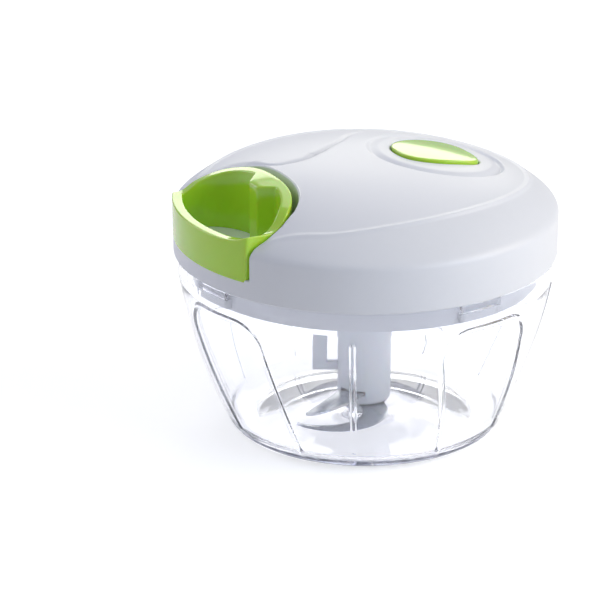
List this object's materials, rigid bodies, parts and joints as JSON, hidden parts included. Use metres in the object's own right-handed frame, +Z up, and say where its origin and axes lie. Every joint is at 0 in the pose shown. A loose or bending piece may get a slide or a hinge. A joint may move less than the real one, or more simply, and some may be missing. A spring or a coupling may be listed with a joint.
{
  "type": "pull-cord onion chopper",
  "caption": "Hand food chopper: clear tapered bowl with a bladed post on a pin, and a white domed lid with a cord reel, a green pull handle and a green brake button.",
  "frame": {"origin": "on the table under the middle of the bowl", "axes": "+Z up along the axis of bowl, blade unit and reel; the pull handle lies at -X and the brake button at +X"},
  "size_m": [0.131, 0.131, 0.0969],
  "materials": {
    "clear_plastic": "clear moulded plastic, polished",
    "white_plastic": "cool white moulded plastic, semi-gloss",
    "green_plastic": "lime green moulded plastic, semi-gloss",
    "grey_plastic": "plain moulded plastic, matte",
    "steel": "bright stainless steel",
    "silicone": "soft translucent white silicone",
    "rubber": "matte black rubber",
    "cord": "braided white cord"
  },
  "bodies": {
    "bowl": {"bowl": "clear_plastic", "pivot_pin": "steel"},
    "blade_unit": {"blade_post": "white_plastic", "blade_lower": "steel", "blade_middle": "steel", "blade_upper": "steel", "mixing_paddle": "white_plastic"},
    "seal": {"lid_seal": "silicone"},
    "lid": {"lid_shell": "white_plastic", "lid_base": "white_plastic", "bearing_bush": "grey_plastic", "spool_axle": "steel", "axle_clip": "steel", "cord_eyelet": "steel", "button_bridge": "white_plastic", "base_screw_1": "steel", "base_screw_2": "steel", "base_screw_3": "steel", "base_screw_4": "steel", "cord_lead": "cord", "brake_spring": "steel"},
    "reel": {"cord_spool": "white_plastic", "wound_cord": "cord", "recoil_spring": "steel", "spring_cover": "white_plastic"},
    "pawl_a": {"pawl_1": "steel"},
    "pawl_b": {"pawl_2": "steel"},
    "drive": {"drive_hub": "grey_plastic"},
    "handle": {"pull_handle": "green_plastic", "pull_cord": "cord", "cord_knot": "cord"},
    "button": {"brake_button": "green_plastic", "brake_plunger": "white_plastic", "brake_pad": "rubber"}
  },
  "joints": [
    {"name": "lid_lift", "type": "slide", "parent": "bowl", "child": "seal", "axis": [0, 0, 1], "range_m": [0, 0.09]},
    {"name": "lid_twist", "type": "hinge", "parent": "seal", "child": "lid", "pos_m": [0, 0, 0.064], "axis": [0, 0, 1], "range_deg": [0, 22]},
    {"name": "handle_pull", "type": "slide", "parent": "lid", "child": "handle", "axis": [-1, 0, 0], "range_m": [0, 0.36], "stiffness_N_per_m": 12.5, "springref_m": -0.24},
    {"name": "reel_spin", "type": "hinge", "parent": "lid", "child": "reel", "pos_m": [0, 0, 0.0825], "axis": [0, 0, 1], "range_deg": [0, 1230]},
    {"name": "drive_spin", "type": "hinge", "parent": "lid", "child": "drive", "pos_m": [0, 0, 0.0675], "axis": [0, 0, 1], "range_deg": [0, 1230]},
    {"name": "blade_spin", "type": "hinge", "parent": "bowl", "child": "blade_unit", "pos_m": [0, 0, 0.03], "axis": [0, 0, 1], "range_deg": [0, 1230]},
    {"name": "pawl_1_swing", "type": "hinge", "parent": "reel", "child": "pawl_a", "pos_m": [0, 0.0095, 0.0723], "axis": [0, 0, 1], "range_deg": [0, 14]},
    {"name": "pawl_2_swing", "type": "hinge", "parent": "reel", "child": "pawl_b", "pos_m": [0, -0.0095, 0.0723], "axis": [0, 0, 1], "range_deg": [0, 14]},
    {"name": "brake_press", "type": "slide", "parent": "lid", "child": "button", "axis": [0, 0, -1], "range_m": [0, 0.0013], "stiffness_N_per_m": 400, "springref_m": -0.002, "deforming": ["brake_spring"]}
  ],
  "couplings": [
    {"joint": "reel_spin", "follows": "handle_pull", "rad_per_m": 59.524},
    {"joint": "drive_spin", "follows": "handle_pull", "rad_per_m": 59.524},
    {"joint": "blade_spin", "follows": "handle_pull", "rad_per_m": 59.524}
  ]
}
